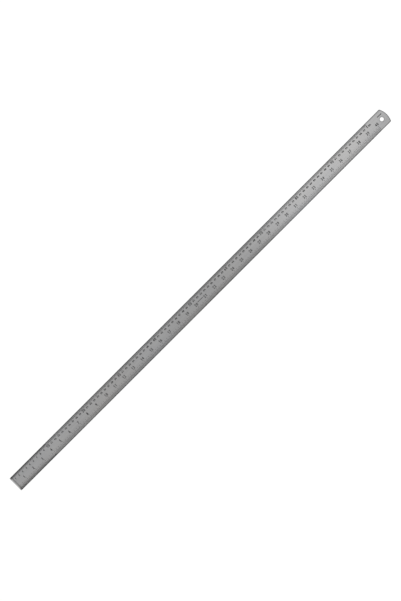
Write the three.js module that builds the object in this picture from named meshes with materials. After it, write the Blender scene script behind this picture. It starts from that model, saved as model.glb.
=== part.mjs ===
// A one metre steel rule: a flat spring-steel strip, square at its zero end and rounded at the
// other, with a hang hole, a metric scale along one edge and an inch scale along the other.
//
// All sizes are millimetres. +X runs along the rule from its zero end, +Y points to the metric
// edge and +Z out of the graduated face. The origin is the middle of the zero end's flat face.
//
// The marks of the real rule are etched into the steel and filled with black. Here each row of
// marks is one thin coat standing on the face: a comb with a tooth for each long mark, or for
// each digit, on a hair-thin thread that makes the row one solid.

import * as THREE from 'three';

// ---- Driving dimensions ----

const INCH = 25.4;
const CENTIMETRE = 10;

const RULE_LENGTH = 1045;
const RULE_WIDTH = 33.5;
const RULE_THICKNESS = 1.2;

// The rounded end and the hang hole both sit a little towards the inch edge.
const END_ARC = { radius: 35, offset: -0.75 };
const END_CORNER_RADIUS = { metric: 2.5, inch: 1 };
const HANG_HOLE = { diameter: 8.2, fromEnd: 14.2, offset: -1 };
const ARC_SEGMENTS = 24;

const COAT_THICKNESS = 0.03;
const THREAD_WIDTH = 0.1;

// Lines start at fromEdge and reach so far from the edge, at each place of a repeating cycle.
const METRIC_LINES = {
  count: 200,
  pitch: CENTIMETRE / 2,
  width: 0.3,
  fromEdge: 0.3,
  reach: [6.6, 6],
};
const INCH_LINES = {
  count: 160,
  pitch: INCH / 4,
  width: 0.3,
  fromEdge: 0.3,
  reach: [11.4, 10, 10.6, 10],
};

// Each digit is a block. A number's first digit is to the left of its mark and its second digit
// to the right of it. The feet of a row's digits are fromEdge away from the edge, except for the
// large tens of the metric row, which hang dip lower.
const SMALL_DIGIT = { width: 2.4, gap: 0.3, height: 3 };
const LARGE_DIGIT = { width: 3, gap: 0.9, height: 5.8 };
const METRIC_NUMERALS = { count: 99, pitch: CENTIMETRE, fromEdge: 10.2, dip: 1 };
const INCH_NUMERALS = { count: 40, pitch: INCH, fromEdge: 12.3 };

// The unit that ends the metric scale: a figure and a letter, either side of the last line.
const METRE_LABEL = { height: 4.8, figure: { x: 998.7, width: 1.1 }, letter: { x: 1004.8, width: 5.7 } };

const MIDDLE_MARK = { x: 20.5 * INCH, y: 0.4, length: 15, height: 0.9 };
const END_MARK = { x: RULE_LENGTH - 12.7, y: 8.1, length: 12, height: 1.4 };

// ---- Shared helpers ----

const halfWidth = RULE_WIDTH / 2;
const faceHeight = RULE_THICKNESS / 2;

function extrude(shape, depth) {
  return new THREE.ExtrudeGeometry(shape, {
    depth,
    bevelEnabled: false,
    curveSegments: ARC_SEGMENTS,
  });
}

// A coat in the shape of a comb. A thread lies along the line y = root, from the first tooth to
// the last. Each tooth, { x, width, foot, tip }, goes from the line y = foot to the line
// y = tip. The first tooth and the last one have their feet on the thread.
function combCoat(root, teeth) {
  const inner = root + Math.sign(teeth[0].tip - root) * THREAD_WIDTH;
  const tips = teeth.flatMap(({ x, width, tip }) => [
    [x - width / 2, inner],
    [x - width / 2, tip],
    [x + width / 2, tip],
    [x + width / 2, inner],
  ]);
  tips[0][1] = root;
  tips.at(-1)[1] = root;
  const feet = teeth.filter(({ foot }) => foot !== root).flatMap(({ x, width, foot }) => [
    [x - width / 2, root],
    [x - width / 2, foot],
    [x + width / 2, foot],
    [x + width / 2, root],
  ]);
  const outline = [...tips, ...feet.reverse()].map(([x, y]) => new THREE.Vector2(x, y));
  return extrude(new THREE.Shape(outline), COAT_THICKNESS);
}

// ---- Pieces ----

// The small arc that eases the long edge on one side into the rounded end.
function endCorner(side, radius, arcCentre) {
  const y = side * (halfWidth - radius);
  const reach = END_ARC.radius - radius;
  const rise = y - END_ARC.offset;
  const x = arcCentre + Math.sqrt(reach ** 2 - rise ** 2);
  return { x, y, radius, turn: Math.atan2(rise, x - arcCentre) };
}

function steelBlade() {
  const arcCentre = RULE_LENGTH - END_ARC.radius;
  const inchCorner = endCorner(-1, END_CORNER_RADIUS.inch, arcCentre);
  const metricCorner = endCorner(1, END_CORNER_RADIUS.metric, arcCentre);
  const quarterTurn = Math.PI / 2;

  const outline = new THREE.Shape();
  outline.moveTo(0, -halfWidth);
  outline.lineTo(inchCorner.x, -halfWidth);
  outline.absarc(inchCorner.x, inchCorner.y, inchCorner.radius, -quarterTurn, inchCorner.turn);
  outline.absarc(arcCentre, END_ARC.offset, END_ARC.radius, inchCorner.turn, metricCorner.turn);
  const { x, y, radius, turn } = metricCorner;
  outline.absarc(x, y, radius, turn, quarterTurn);
  outline.lineTo(0, halfWidth);
  outline.closePath();

  const hole = new THREE.Path();
  const holeX = RULE_LENGTH - HANG_HOLE.fromEnd;
  hole.absarc(holeX, HANG_HOLE.offset, HANG_HOLE.diameter / 2, 0, 2 * Math.PI, true);
  outline.holes.push(hole);
  return extrude(outline, RULE_THICKNESS);
}

// The row of lines along one edge: side is +1 at the metric edge and -1 at the inch edge.
function lineComb({ count, pitch, width, fromEdge, reach }, side) {
  const root = side * (halfWidth - fromEdge);
  const teeth = [];
  for (let mark = 1; mark <= count; mark += 1) {
    const tip = side * (halfWidth - reach[mark % reach.length]);
    teeth.push({ x: mark * pitch, width, foot: root, tip });
  }
  return combCoat(root, teeth);
}

// The one or two digits of a number, either side of the number's mark at x.
function digitTeeth(number, x, digit, foot) {
  const step = digit.width + digit.gap;
  return [...String(number)].map((_, place) => ({
    x: x + (place - 0.5) * step,
    width: digit.width,
    foot,
    tip: foot + digit.height,
  }));
}

function metricNumeralComb() {
  const { count, pitch, fromEdge, dip } = METRIC_NUMERALS;
  const foot = halfWidth - fromEdge;
  const teeth = [];
  for (let number = 1; number <= count; number += 1) {
    const isTen = number % 10 === 0;
    const digit = isTen ? LARGE_DIGIT : SMALL_DIGIT;
    teeth.push(...digitTeeth(number, number * pitch, digit, isTen ? foot - dip : foot));
  }
  const tip = foot + METRE_LABEL.height;
  teeth.push({ ...METRE_LABEL.figure, foot, tip }, { ...METRE_LABEL.letter, foot, tip });
  return combCoat(foot, teeth);
}

function inchNumeralComb() {
  const { count, pitch, fromEdge } = INCH_NUMERALS;
  const foot = fromEdge - halfWidth;
  const teeth = [];
  for (let number = 1; number <= count; number += 1) {
    teeth.push(...digitTeeth(number, number * pitch, LARGE_DIGIT, foot));
  }
  return combCoat(foot, teeth);
}

// A plain bar: one lies between the numerals 20 and 21 of the inch row, and one above the hole.
function barMark({ x, y, length, height }) {
  const bar = new THREE.BoxGeometry(length, height, COAT_THICKNESS);
  bar.translate(x, y, COAT_THICKNESS / 2);
  return bar;
}

// ---- Assembly ----

function brushedSteel() {
  return new THREE.MeshStandardMaterial({ color: 0xb4b5b6, metalness: 1, roughness: 0.38 });
}

function blackFilling() {
  return new THREE.MeshStandardMaterial({ color: 0x1d1e20, metalness: 0, roughness: 0.6 });
}

const rule = new THREE.Group();

function addPiece(name, geometry, material, z) {
  const piece = new THREE.Mesh(geometry, material);
  piece.name = name;
  piece.position.z = z;
  rule.add(piece);
}

addPiece('steel_blade', steelBlade(), brushedSteel(), -faceHeight);
addPiece('metric_line_infill', lineComb(METRIC_LINES, 1), blackFilling(), faceHeight);
addPiece('metric_numeral_infill', metricNumeralComb(), blackFilling(), faceHeight);
addPiece('inch_line_infill', lineComb(INCH_LINES, -1), blackFilling(), faceHeight);
addPiece('inch_numeral_infill', inchNumeralComb(), blackFilling(), faceHeight);
addPiece('middle_mark_infill', barMark(MIDDLE_MARK), blackFilling(), faceHeight);
addPiece('end_mark_infill', barMark(END_MARK), blackFilling(), faceHeight);

export default rule;
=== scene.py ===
"""A one metre steel rule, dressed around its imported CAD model.

The CAD strip and coats give the places. Here the blade is rebuilt as one closed mesh, with rounded
edges and a shallow etched groove for every line and numeral, and each row of grooves has its own
black filling. Shapes are worked out in millimetres in the frame of the CAD model, +X along the
rule, +Y towards the metric edge and +Z out of the graduated face, and turned into metres at the end.
"""

import math

import bpy
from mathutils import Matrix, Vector, geometry


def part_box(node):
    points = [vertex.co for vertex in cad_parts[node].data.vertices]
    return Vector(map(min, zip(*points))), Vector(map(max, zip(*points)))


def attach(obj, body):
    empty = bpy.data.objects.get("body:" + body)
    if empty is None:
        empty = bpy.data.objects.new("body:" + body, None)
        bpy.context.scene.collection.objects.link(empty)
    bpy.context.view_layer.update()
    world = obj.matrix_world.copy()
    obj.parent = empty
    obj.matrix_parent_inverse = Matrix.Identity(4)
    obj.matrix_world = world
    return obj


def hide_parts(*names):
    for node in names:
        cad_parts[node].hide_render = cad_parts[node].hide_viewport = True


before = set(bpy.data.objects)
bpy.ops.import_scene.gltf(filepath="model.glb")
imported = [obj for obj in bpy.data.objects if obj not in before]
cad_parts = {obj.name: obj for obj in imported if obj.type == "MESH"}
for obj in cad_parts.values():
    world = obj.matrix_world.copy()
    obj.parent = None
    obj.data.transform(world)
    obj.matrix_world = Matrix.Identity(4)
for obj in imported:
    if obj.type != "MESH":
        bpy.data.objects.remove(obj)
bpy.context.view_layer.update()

# ---- Driving dimensions, in millimetres ----

METRE = 1000
INCH = 25.4
CENTIMETRE = 10

blade_low, blade_high = [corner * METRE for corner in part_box("steel_blade")]
LENGTH = round(blade_high.x, 1)
HALF_WIDTH = (blade_high.y - blade_low.y) / 2
FACE = blade_high.z
BACK = blade_low.z

END_ARC_RADIUS = 35
END_ARC_CENTRE = (LENGTH - END_ARC_RADIUS, -0.75)
METRIC_CORNER_RADIUS = 2.5
INCH_CORNER_RADIUS = 1
ZERO_CORNER_RADIUS = 0.5
HOLE_RADIUS = 4.1
HOLE_CENTRE = (LENGTH - 14.2, -1)

EDGE_RADIUS = 0.22
EDGE_STEPS = 3
OUTLINE_STEP = 4
ARC_STEPS = {"zero_corner": 4, "inch_corner": 6, "end": 48, "metric_corner": 12, "hole": 64, "bar_end": 8}

ETCH_DEPTH = 0.05
ETCH_SLOPE = 0.04
FILLING_RECESS = 0.006
FILLING_GAP = 0.002

# Lines run from LINE_START to their reach, both measured from their own long edge.
LINE_START = 0.35
METRIC_LINE_WIDTH = 0.41
HALF_MILLIMETRE_LINE_WIDTH = 0.27
METRIC_REACH = {"half_millimetre": 3, "millimetre": 5, "five": 6, "ten": 6.6}
HALF_MILLIMETRES_UP_TO = 100

# The inch scale's widths go by the finest division of a stretch, and its reaches by the division
# that a line marks: 2 is a half inch.
INCH_LINE_WIDTH = {16: 0.46, 32: 0.41, 64: 0.27}
INCH_REACH = {1: 11.4, 2: 10.6, 4: 10, 8: 8.2, 16: 6.2, 32: 4.5, 64: 2.8}
INCH_COUNT = 40

# The heights, in y, that the rows of numerals are centred on.
METRIC_MIDDLE = HALF_WIDTH - 8.7
METRIC_TENS_MIDDLE = HALF_WIDTH - 8.3
METRE_LABEL_MIDDLE = HALF_WIDTH - 8.2
METRE_LABEL_PLACES = {"1": METRE - 1.7, "m": METRE + 4.8}
INCH_MIDDLE = 15.3 - HALF_WIDTH

PEN_CORNERS = 12
GLYPH_CURVE_STEPS = 5
SHORTEST_GLYPH_EDGE = 0.08


# ---- Outlines ----

def arc(centre, radius, start, end, steps):
    """Points from angle start to angle end, both included."""
    points = []
    for step in range(steps + 1):
        angle = start + (end - start) * step / steps
        points.append((centre[0] + radius * math.cos(angle), centre[1] + radius * math.sin(angle)))
    return points


def circle(centre, radius, steps):
    return arc(centre, radius, 0, 2 * math.pi, steps)[:-1]


def straight(start, end, step):
    """Points between start and end, both left out, no further apart than step."""
    count = math.ceil(math.dist(start, end) / step)
    return [
        (start[0] + (end[0] - start[0]) * k / count, start[1] + (end[1] - start[1]) * k / count)
        for k in range(1, count)
    ]


def end_corner(side, radius):
    """Centre of the small arc between a long edge and the rounded end, and the angle at which it
    runs into the end."""
    y = side * (HALF_WIDTH - radius)
    rise = y - END_ARC_CENTRE[1]
    run = math.sqrt((END_ARC_RADIUS - radius) ** 2 - rise ** 2)
    return (END_ARC_CENTRE[0] + run, y), math.atan2(rise, run)


def blade_outline(inset):
    """The blade's outline, drawn in by inset, anticlockwise from the zero end's inch corner."""
    quarter = math.pi / 2
    inch_centre, inch_turn = end_corner(-1, INCH_CORNER_RADIUS)
    metric_centre, metric_turn = end_corner(1, METRIC_CORNER_RADIUS)
    zero_y = HALF_WIDTH - ZERO_CORNER_RADIUS
    zero_radius = ZERO_CORNER_RADIUS - inset
    inch_radius = INCH_CORNER_RADIUS - inset
    metric_radius = METRIC_CORNER_RADIUS - inset
    zero_steps = ARC_STEPS["zero_corner"]

    zero_inch = arc((ZERO_CORNER_RADIUS, -zero_y), zero_radius, -2 * quarter, -quarter, zero_steps)
    zero_metric = arc((ZERO_CORNER_RADIUS, zero_y), zero_radius, quarter, 2 * quarter, zero_steps)
    rounded_end = arc(inch_centre, inch_radius, -quarter, inch_turn, ARC_STEPS["inch_corner"])
    rounded_end += arc(END_ARC_CENTRE, END_ARC_RADIUS - inset, inch_turn, metric_turn, ARC_STEPS["end"])[1:]
    rounded_end += arc(metric_centre, metric_radius, metric_turn, quarter, ARC_STEPS["metric_corner"])[1:]

    points = []
    stretches = [zero_inch, rounded_end, zero_metric]
    for stretch, following in zip(stretches, stretches[1:] + stretches[:1]):
        points += stretch + straight(stretch[-1], following[0], OUTLINE_STEP)
    return points


def hole_outline(inset):
    return circle(HOLE_CENTRE, HOLE_RADIUS + inset, ARC_STEPS["hole"])


# ---- Areas between loops ----

def area(loop):
    total = 0
    for (ax, ay), (bx, by) in zip(loop, loop[1:] + loop[:1]):
        total += ax * by - bx * ay
    return total / 2


def odd(loops_round):
    """True for what lies inside a loop but not inside a second one, as ink does round a counter."""
    return len(loops_round) % 2 == 1


def cut_up(loops, wanted):
    """Cuts the plane into triangles along closed loops, and keeps a triangle if wanted is true of the
    numbers of the loops that go round it. Gives the points and the triangles, anticlockwise, and for
    each point the places that it has in the given loops, counted from loop to loop."""
    points, outlines = [], []
    for loop in loops:
        outline = list(range(len(points), len(points) + len(loop)))
        outlines.append(outline if area(loop) > 0 else outline[::-1])
        points += [Vector(point) for point in loop]
    triangles_to_hull, merging_distance = 0, 1e-5
    found, _, faces, origins, _, loops_round = geometry.delaunay_2d_cdt(
        points, [], outlines, triangles_to_hull, merging_distance)
    kept = [list(face) for face, numbers in zip(faces, loops_round) if wanted(numbers)]
    return found, kept, origins


def rims(faces):
    """The loops of edges that only one face has, with the faces on their left."""
    edges = {edge for face in faces for edge in zip(face, face[1:] + face[:1])}
    onward = {start: end for start, end in sorted(edges) if (end, start) not in edges}
    loops = []
    while onward:
        loop, now = [], min(onward)
        while now in onward:
            loop.append(now)
            now = onward.pop(now)
        loops.append(loop)
    return loops


def without_close_points(loop, gap):
    kept = []
    for point in loop:
        if not kept or math.dist(point, kept[-1]) > gap:
            kept.append(point)
    while len(kept) > 3 and math.dist(kept[0], kept[-1]) <= gap:
        kept.pop()
    return kept


def drawn_in(loop, inset):
    """Each point of the loop moved to its left by inset, with sharp corners mitred."""
    least_spread = 0.5
    moved = []
    count = len(loop)
    for k, (x, y) in enumerate(loop):
        before, after = loop[k - 1], loop[(k + 1) % count]
        into = Vector((x - before[0], y - before[1])).normalized()
        out = Vector((after[0] - x, after[1] - y)).normalized()
        left = Vector((-into.y - out.y, into.x + out.x)).normalized()
        spread = max(least_spread, left.dot(Vector((-into.y, into.x))))
        moved.append((x + left.x * inset / spread, y + left.y * inset / spread))
    return moved


# ---- Glyphs ----

def figure_one():
    """A figure 1 with a flag, which the built-in font's plain stroke lacks, in font units."""
    return [[(0.2, 0), (0.3, 0), (0.3, 0.69), (0.23, 0.69), (0.17, 0.61), (0.07, 0.56),
             (0.07, 0.47), (0.2, 0.52)]]


def glyph_loops(character):
    """Closed outlines of a character of the built-in font, in font units, with the ink on their left."""
    if character == "1":
        return figure_one()
    curve = bpy.data.curves.new("glyph", "FONT")
    curve.body = character
    curve.resolution_u = GLYPH_CURVE_STEPS
    curve.fill_mode = "FRONT"
    holder = bpy.data.objects.new("glyph", curve)
    bpy.context.scene.collection.objects.link(holder)
    bpy.context.view_layer.update()
    evaluated = holder.evaluated_get(bpy.context.evaluated_depsgraph_get())
    mesh = evaluated.to_mesh()
    points = [tuple(vertex.co[:2]) for vertex in mesh.vertices]
    loops = rims([list(face.vertices) for face in mesh.polygons])
    evaluated.to_mesh_clear()
    bpy.data.objects.remove(holder)
    bpy.data.curves.remove(curve)
    return [[points[k] for k in loop] for loop in loops]


def pen_stroke(pen, start, end):
    """The outline of what a round pen covers on its way from start to end."""
    corners = [(place[0] + x, place[1] + y) for place in (start, end) for x, y in pen]
    return [corners[k] for k in geometry.convex_hull_2d(corners)]


def thickened(loops, weight):
    """A glyph whose edge has been drawn over with a round pen, with the ink to the left of its loops."""
    pen = circle((0, 0), weight, PEN_CORNERS)
    edges = [edge for loop in loops for edge in zip(loop, loop[1:] + loop[:1])]
    strokes = [pen_stroke(pen, start, end) for start, end in edges]

    def is_ink(loops_round):
        return max(loops_round, default=-1) >= len(loops) or odd(loops_round)

    points, faces, _ = cut_up(loops + strokes, is_ink)
    return [[tuple(points[k]) for k in loop] for loop in rims(faces)]


class Lettering:
    """One style of numerals: the height and width of a round digit, the radius of the pen that
    thickens it, and the step between the middles of a number's two digits."""

    def __init__(self, height, digit_width, weight, step):
        self.height, self.weight, self.step = height, weight, step
        points = [point for loop in glyph_loops("8") for point in loop]
        xs, ys = zip(*points)
        self.scale_x = (digit_width - 2 * weight) / (max(xs) - min(xs))
        self.scale_y = (height - 2 * weight) / (max(ys) - min(ys))
        self.foot = min(ys)
        self.cut = {}

    def character(self, character):
        """The character's loops round x = 0, with the foot of a round digit on y = 0."""
        if character not in self.cut:
            loops = [
                [(x * self.scale_x, (y - self.foot) * self.scale_y) for x, y in loop]
                for loop in glyph_loops(character)
            ]
            loops = [
                without_close_points(loop, SHORTEST_GLYPH_EDGE) for loop in thickened(loops, self.weight)
            ]
            xs = [x for loop in loops for x, _ in loop]
            middle = (min(xs) + max(xs)) / 2
            self.cut[character] = [[(x - middle, y + self.weight) for x, y in loop] for loop in loops]
        return self.cut[character]

    def mark(self, character, x, middle):
        """One character, centred on x, whose digits are centred on the line y = middle."""
        foot = middle - self.height / 2
        return [[(px + x, py + foot) for px, py in loop] for loop in self.character(character)]

    def number(self, number, x, middle):
        """A number whose first digit is to the left of x, and its second digit to the right of it."""
        marks = []
        for place, digit in enumerate(str(number)):
            marks.append(self.mark(digit, x + (place - 0.5) * self.step, middle))
        return marks


# ---- Marks: each is a list of loops with the ink on their left ----

def line_mark(x, side, width, reach):
    near = side * (HALF_WIDTH - LINE_START)
    far = side * (HALF_WIDTH - reach)
    low, high = min(near, far), max(near, far)
    left, right = x - width / 2, x + width / 2
    return [[(left, low), (right, low), (right, high), (left, high)]]


def metric_lines():
    marks = []
    for half in range(1, 2 * METRE + 1):
        whole = half % 2 == 0
        x = half / 2
        if not whole and x > HALF_MILLIMETRES_UP_TO:
            continue
        width = METRIC_LINE_WIDTH
        if not whole:
            kind = "half_millimetre"
            width = HALF_MILLIMETRE_LINE_WIDTH
        elif x % CENTIMETRE == 0:
            kind = "ten"
        elif x % (CENTIMETRE / 2) == 0:
            kind = "five"
        else:
            kind = "millimetre"
        marks.append(line_mark(x, 1, width, METRIC_REACH[kind]))
    return marks


def finest_at(inches):
    """The inch scale is cut in 32nds up to 3 in, in 64ths from there to 4 in, then in 16ths."""
    if inches <= 3:
        return 32
    return 64 if inches <= 4 else 16


def inch_lines():
    finest = max(INCH_REACH)
    marks = []
    for part in range(1, INCH_COUNT * finest + 1):
        inches = part / finest
        division = finest // math.gcd(part, finest)
        if division <= finest_at(inches):
            width = INCH_LINE_WIDTH[finest_at(inches)]
            marks.append(line_mark(inches * INCH, -1, width, INCH_REACH[division]))
    return marks


def metric_numerals():
    """The centimetres, with larger tens, and the unit that ends the scale."""
    small = Lettering(height=3.4, digit_width=2.6, weight=0.26, step=2.8)
    large = Lettering(height=5.8, digit_width=3.1, weight=0.2, step=3.9)
    label = Lettering(height=5.6, digit_width=3.9, weight=0.24, step=0)
    marks = []
    for number in range(1, METRE // CENTIMETRE):
        x = number * CENTIMETRE
        if number % 10 == 0:
            marks += large.number(number, x, METRIC_TENS_MIDDLE)
        else:
            marks += small.number(number, x, METRIC_MIDDLE)
    for character, x in METRE_LABEL_PLACES.items():
        marks.append(label.mark(character, x, METRE_LABEL_MIDDLE))
    return marks


def inch_numerals():
    lettering = Lettering(height=6, digit_width=3.1, weight=0.2, step=4)
    marks = []
    for number in range(1, INCH_COUNT + 1):
        marks += lettering.number(number, number * INCH, INCH_MIDDLE)
    return marks


def bar(cad_node):
    """A plain bar with round ends, where the CAD has its bar."""
    low, high = [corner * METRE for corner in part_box(cad_node)]
    radius = (high.y - low.y) / 2
    middle = (high.y + low.y) / 2
    quarter = math.pi / 2
    steps = ARC_STEPS["bar_end"]
    right = arc((high.x - radius, middle), radius, -quarter, quarter, steps)
    left = arc((low.x + radius, middle), radius, quarter, 3 * quarter, steps)
    return [[right + left]]


# ---- Meshes ----

class Shell:
    """Vertices in millimetres and faces, to be made into one mesh object in metres."""

    def __init__(self):
        self.points, self.faces = [], []

    def add_points(self, loop, z):
        """Adds a ring of vertices over the loop, and gives their numbers."""
        first = len(self.points)
        self.points += [(x, y, z) for x, y in loop]
        return list(range(first, len(self.points)))

    def bridge(self, lower, upper):
        """Quads between two rings, facing out when the rings run anticlockwise from above."""
        count = len(lower)
        for k in range(count):
            n = (k + 1) % count
            self.faces.append((lower[k], lower[n], upper[n], upper[k]))

    def cap(self, loops, rings, up):
        """Triangles over the area between the loops, which the rings of vertices stand on."""
        vertices = [vertex for ring in rings for vertex in ring]
        _, faces, origins = cut_up(loops, odd)
        for face in faces:
            corners = [vertices[origins[k][0]] for k in face]
            self.faces.append(corners if up else corners[::-1])

    def build(self, name, material):
        mesh = bpy.data.meshes.new(name)
        in_metres = [(x / METRE, y / METRE, z / METRE) for x, y, z in self.points]
        mesh.from_pydata(in_metres, [], self.faces)
        mesh.validate()
        mesh.materials.append(material)
        piece = bpy.data.objects.new(name, mesh)
        bpy.context.scene.collection.objects.link(piece)
        return piece


def edge_profile():
    """(inset, height) down the side of the blade, with both of its edges rounded."""
    profile = []
    for step in range(EDGE_STEPS + 1):
        angle = math.pi / 2 * step / EDGE_STEPS
        inset = EDGE_RADIUS * (1 - math.sin(angle))
        profile.append((inset, FACE - EDGE_RADIUS * (1 - math.cos(angle))))
    middle = (FACE + BACK) / 2
    return profile + [(inset, 2 * middle - z) for inset, z in reversed(profile)]


def etched_face(shell, loops, rings, marks):
    """The graduated face: flat steel between the given loops and the grooves, and the sloping
    walls and the floor of each groove."""
    loops, rings = list(loops), list(rings)
    for mark in marks:
        floors = [drawn_in(loop, ETCH_SLOPE) for loop in mark]
        top_rings = [shell.add_points(loop, FACE) for loop in mark]
        floor_rings = [shell.add_points(loop, FACE - ETCH_DEPTH) for loop in floors]
        for top, floor_ring in zip(top_rings, floor_rings):
            shell.bridge(top, floor_ring)
        shell.cap(floors, floor_rings, up=True)
        loops += mark
        rings += top_rings
    shell.cap(loops, rings, up=True)


def blade(marks, material):
    shell = Shell()
    profile = edge_profile()
    outlines = [blade_outline(inset) for inset, _ in profile]
    holes = [hole_outline(inset) for inset, _ in profile]
    outline_rings = [shell.add_points(loop, z) for loop, (_, z) in zip(outlines, profile)]
    hole_rings = [shell.add_points(loop, z) for loop, (_, z) in zip(holes, profile)]
    for upper, lower in zip(outline_rings, outline_rings[1:]):
        shell.bridge(lower, upper)
    for upper, lower in zip(hole_rings, hole_rings[1:]):
        shell.bridge(upper, lower)
    etched_face(shell, (outlines[0], holes[0]), (outline_rings[0], hole_rings[0]), marks)
    shell.cap((outlines[-1], holes[-1]), (outline_rings[-1], hole_rings[-1]), up=False)
    return shell.build("etched_blade", material)


def filling(name, marks, material):
    """Black filling for a row of grooves: a solid in each, a hair clear of the groove's walls."""
    shell = Shell()
    slope = ETCH_SLOPE / ETCH_DEPTH
    for mark in marks:
        tops = [drawn_in(loop, FILLING_RECESS * slope + FILLING_GAP) for loop in mark]
        feet = [drawn_in(loop, ETCH_SLOPE + FILLING_GAP) for loop in mark]
        top_rings = [shell.add_points(loop, FACE - FILLING_RECESS) for loop in tops]
        foot_rings = [shell.add_points(loop, FACE - ETCH_DEPTH + FILLING_GAP) for loop in feet]
        for top, foot in zip(top_rings, foot_rings):
            shell.bridge(foot, top)
        shell.cap(tops, top_rings, up=True)
        shell.cap(feet, foot_rings, up=False)
    return shell.build(name, material)


# ---- Shader nodes ----

def plug(tree, socket, value):
    """Links the socket to another node's output, or sets it to a plain value."""
    if isinstance(value, bpy.types.NodeSocket):
        tree.links.new(value, socket)
    else:
        socket.default_value = value


def node(tree, kind, inputs, **settings):
    made = tree.nodes.new(kind)
    for key, value in settings.items():
        setattr(made, key, value)
    for key, value in inputs.items():
        plug(tree, made.inputs[key], value)
    return made


def maths(tree, operation, *values):
    made = node(tree, "ShaderNodeMath", dict(enumerate(values)), operation=operation)
    return made.outputs["Value"]


def vector_maths(tree, operation, *values):
    return node(tree, "ShaderNodeVectorMath", dict(enumerate(values)), operation=operation)


def weighted_sum(tree, start, parts):
    """start, plus each part times its weight."""
    total = start
    for part, weight in parts:
        total = maths(tree, "MULTIPLY_ADD", part, weight, total)
    return total


def remap(tree, value, from_ends, to_ends, interpolation="SMOOTHSTEP"):
    inputs = {
        "Value": value,
        "From Min": from_ends[0],
        "From Max": from_ends[1],
        "To Min": to_ends[0],
        "To Max": to_ends[1],
    }
    made = node(tree, "ShaderNodeMapRange", inputs, interpolation_type=interpolation)
    return made.outputs["Result"]


def fade(tree, measured, none_at, full_at):
    """0 where what is measured is none_at, and 1 where it is full_at, both in millimetres."""
    return remap(tree, measured, (none_at / METRE, full_at / METRE), (0, 1))


def noise(tree, position, scale, detail=2.0, rotation=0.0):
    """Noise from -1 to 1 whose grain is stretched by scale, in grains per metre."""
    placing = {"Vector": position, "Rotation": (0, 0, rotation), "Scale": scale}
    stretched = node(tree, "ShaderNodeMapping", placing).outputs["Vector"]
    inputs = {"Vector": stretched, "Scale": 1.0, "Detail": detail, "Roughness": 0.6}
    made = node(tree, "ShaderNodeTexNoise", inputs)
    return remap(tree, made.outputs["Fac"], (0.25, 0.75), (-1, 1), "LINEAR")


def object_position(tree):
    return node(tree, "ShaderNodeTexCoord", {}).outputs["Object"]


def new_material(name):
    material = bpy.data.materials.new(name)
    material.use_nodes = True
    tree = material.node_tree
    return material, tree, tree.nodes["Principled BSDF"]


def set_inputs(tree, shader, inputs):
    for key, value in inputs.items():
        plug(tree, shader.inputs[key], value)


# ---- Materials ----

def worn_rim(tree, measured, rim, outward):
    """Mask for painted shade along a rim: 1 by the rim, and 0 from 2.6 mm away from it on the side that
    outward points to.
    """
    return fade(tree, measured, none_at=rim + outward * 2.6, full_at=rim + outward * 0.8)


def distance(tree, position, place):
    """Metres from a place on the graduated face, given in millimetres."""
    fixed = Vector((*place, FACE)) / METRE
    return vector_maths(tree, "DISTANCE", position, fixed).outputs["Value"]


def steel_wear(tree, position):
    """The stretches of the blade whose colour carries painted shade or a painted highlight, lighter or
    darker than the rest, each with its weight.
    """
    x, y, _ = node(tree, "ShaderNodeSeparateXYZ", {"Vector": position}).outputs
    # Where the painted highlight at the zero end stops.
    past_zero_strip = fade(tree, x, none_at=2.4, full_at=2.8)

    # Painted shade: the rims of the long edges, the rounded end and the hole are darkened in the colour.
    long_edge_shade = worn_rim(tree, maths(tree, "ABSOLUTE", y), HALF_WIDTH, -1)
    long_edge_shade = maths(tree, "MULTIPLY", long_edge_shade, past_zero_strip)
    past_arc_centre = maths(tree, "GREATER_THAN", x, END_ARC_CENTRE[0] / METRE)
    near_arc = worn_rim(tree, distance(tree, position, END_ARC_CENTRE), END_ARC_RADIUS, -1)
    end_edge_shade = maths(tree, "MULTIPLY", near_arc, past_arc_centre)
    hole_edge_shade = worn_rim(tree, distance(tree, position, HOLE_CENTRE), HOLE_RADIUS, 1)

    # Painted shade: the blade darkens towards the inch side.
    inch_side_shade = fade(tree, y, none_at=3, full_at=-10)
    # Painted highlight: a lighter strip at the zero end. Painted shade: a darker band just past it.
    zero_end_highlight = fade(tree, x, none_at=2.7, full_at=2.3)
    near_zero_end = fade(tree, x, none_at=5.8, full_at=4.6)
    zero_end_band_shade = maths(tree, "MULTIPLY", past_zero_strip, near_zero_end)
    return [
        (inch_side_shade, -0.07),
        (long_edge_shade, -0.63),
        (end_edge_shade, -0.42),
        (hole_edge_shade, -0.28),
        (zero_end_band_shade, -0.36),
        (zero_end_highlight, 0.25),
    ]


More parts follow.
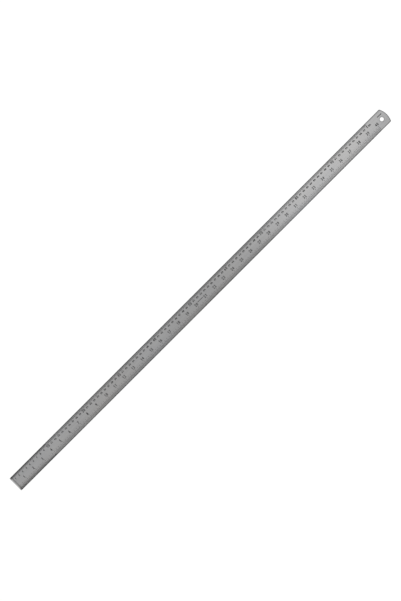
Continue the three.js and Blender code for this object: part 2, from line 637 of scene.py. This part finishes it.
def brushed_steel():
    """Stainless strip, brushed along its length, with painted shade on its rims and towards the inch side,
    and a painted highlight at the zero end.
    """
    material, tree, shader = new_material("brushed_steel")
    position = object_position(tree)

    grain = noise(tree, position, (60, 5200, 5200), detail=3.0)
    streaks = noise(tree, position, (9, 700, 700), detail=3.0)
    clouds = noise(tree, position, (14, 40, 40))
    scratches = noise(tree, position, (40, 2600, 2600), rotation=0.3)
    scratches = remap(tree, scratches, (0.75, 1), (0, 1))
    warmth = noise(tree, position, (6, 25, 25), detail=1.0)

    steel_grey, warm_tint, darkest_tone = (0.562, 0.56, 0.5613), (0.005, -0.001, -0.009), 0.3
    tone = weighted_sum(tree, 1.0, [(grain, 0.035), (streaks, 0.08), (clouds, 0.04), (scratches, 0.08)])
    # Painted shade and highlight added into the steel's tone.
    tone = weighted_sum(tree, tone, steel_wear(tree, position))
    tone = maths(tree, "MAXIMUM", tone, darkest_tone)
    tint = vector_maths(tree, "MULTIPLY", warm_tint, warmth).outputs["Vector"]
    colour = vector_maths(tree, "MULTIPLY_ADD", steel_grey, tone, tint).outputs["Vector"]

    relief = maths(tree, "ADD", grain, streaks)
    relief = maths(tree, "SUBTRACT", relief, scratches)
    bump = node(tree, "ShaderNodeBump", {"Height": relief, "Strength": 0.35, "Distance": 0.004 / METRE})
    across = node(tree, "ShaderNodeCombineXYZ", {"Y": 1.0})
    set_inputs(tree, shader, {
        "Base Color": colour,
        "Metallic": 1.0,
        "Roughness": weighted_sum(tree, 0.34, [(grain, 0.05), (clouds, 0.03), (scratches, -0.1)]),
        "Anisotropic": 0.5,
        "Tangent": across.outputs["Vector"],
        "Normal": bump.outputs["Normal"],
    })
    return material


def black_filling():
    """Matt black etching ink, a little uneven."""
    material, tree, shader = new_material("black_filling")
    patches = noise(tree, object_position(tree), (300, 300, 300))
    ink_black = (0.01, 0.01, 0.011)
    tone = weighted_sum(tree, 1.0, [(patches, 0.3)])
    set_inputs(tree, shader, {
        "Base Color": vector_maths(tree, "MULTIPLY", ink_black, tone).outputs["Vector"],
        "Roughness": weighted_sum(tree, 0.6, [(patches, 0.08)]),
        "Specular IOR Level": 0.3,
    })
    return material


def lit_table():
    """A white sheet that is lit from below too, so that the shadows on it stay faint."""
    material, tree, shader = new_material("lit_table")
    set_inputs(tree, shader, {
        "Base Color": (0.45, 0.45, 0.45, 1),
        "Emission Color": (1, 1, 1, 1),
        "Emission Strength": 0.74,
        "Roughness": 0.9,
        "Specular IOR Level": 0.1,
    })
    return material


# ---- Stage, light and camera: places and sizes in metres ----

def floor():
    half_size, gap_below_rule = 30, 0.00002
    height = BACK / METRE - gap_below_rule
    corners = [(-1, -1), (1, -1), (1, 1), (-1, 1)]
    mesh = bpy.data.meshes.new("floor")
    mesh.from_pydata([(x * half_size, y * half_size, height) for x, y in corners], [], [(0, 1, 2, 3)])
    mesh.materials.append(lit_table())
    table = bpy.data.objects.new("floor", mesh)
    bpy.context.scene.collection.objects.link(table)


def world_light(reflected):
    """White where the camera looks past the object, and an even grey that it lights and mirrors."""
    world = bpy.data.worlds.new("studio")
    world.use_nodes = True
    tree = world.node_tree
    seen = node(tree, "ShaderNodeLightPath", {}).outputs["Is Camera Ray"]
    set_inputs(tree, tree.nodes["Background"], {
        "Color": (1, 1, 1, 1),
        "Strength": remap(tree, seen, (0, 1), (reflected, 1), "LINEAR"),
    })
    bpy.context.scene.world = world


def softbox(name, place, target, size, power):
    light = bpy.data.lights.new(name, "AREA")
    light.shape = "RECTANGLE"
    light.size, light.size_y = size
    light.energy = power
    lamp = bpy.data.objects.new(name, light)
    lamp.location = place
    lamp.rotation_euler = (Vector(target) - Vector(place)).to_track_quat("-Z", "Y").to_euler()
    lamp.visible_camera = False
    bpy.context.scene.collection.objects.link(lamp)


def lights():
    """Two wide softboxes beyond the ends of the rule, and a small panel over the end with the hole,
    which is the brightest."""
    world_light(reflected=0.585)
    softbox("zero_side_softbox", place=(-2.6, 0, 3), target=(0.3, 0, 0), size=(3, 3), power=12)
    softbox("hole_side_softbox", place=(3.6, 0, 3), target=(0.7, 0, 0), size=(3, 3), power=12)
    softbox("hole_end_panel", place=(0.9, 0, 0.4), target=(0.9, 0, 0), size=(0.34, 0.5), power=0.17)


def camera():
    """Straight above the rule, which runs up to the right. frame_long_side is how much of the table
    the long side of the frame shows."""
    lens, sensor, farthest_seen = 300, 36, 200
    frame_long_side = 1.1973
    turn = math.radians(44.97)
    past_middle = Vector((-0.0025, -0.0012, 0))
    height = frame_long_side * lens / sensor
    data = bpy.data.cameras.new("camera")
    data.lens = lens
    data.sensor_width = sensor
    data.clip_end = farthest_seen
    eye = bpy.data.objects.new("camera", data)
    eye.location = Vector((LENGTH / 2 / METRE, 0, height)) + past_middle
    eye.rotation_euler = (0, 0, -turn)
    bpy.context.scene.collection.objects.link(eye)
    bpy.context.scene.camera = eye


# ---- Assembly ----

def dress(piece, cad_node):
    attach(piece, "root")
    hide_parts(cad_node)


rows = {
    "metric_lines": ("metric_line_infill", metric_lines()),
    "metric_numerals": ("metric_numeral_infill", metric_numerals()),
    "inch_lines": ("inch_line_infill", inch_lines()),
    "inch_numerals": ("inch_numeral_infill", inch_numerals()),
    "middle_mark": ("middle_mark_infill", bar("middle_mark_infill")),
    "end_mark": ("end_mark_infill", bar("end_mark_infill")),
}
all_marks = [mark for _, marks in rows.values() for mark in marks]
dress(blade(all_marks, brushed_steel()), "steel_blade")

black = black_filling()
for name, (cad_node, marks) in rows.items():
    dress(filling(name, marks, black), cad_node)

floor()
lights()
camera()
bpy.context.scene.view_settings.view_transform = "Standard"
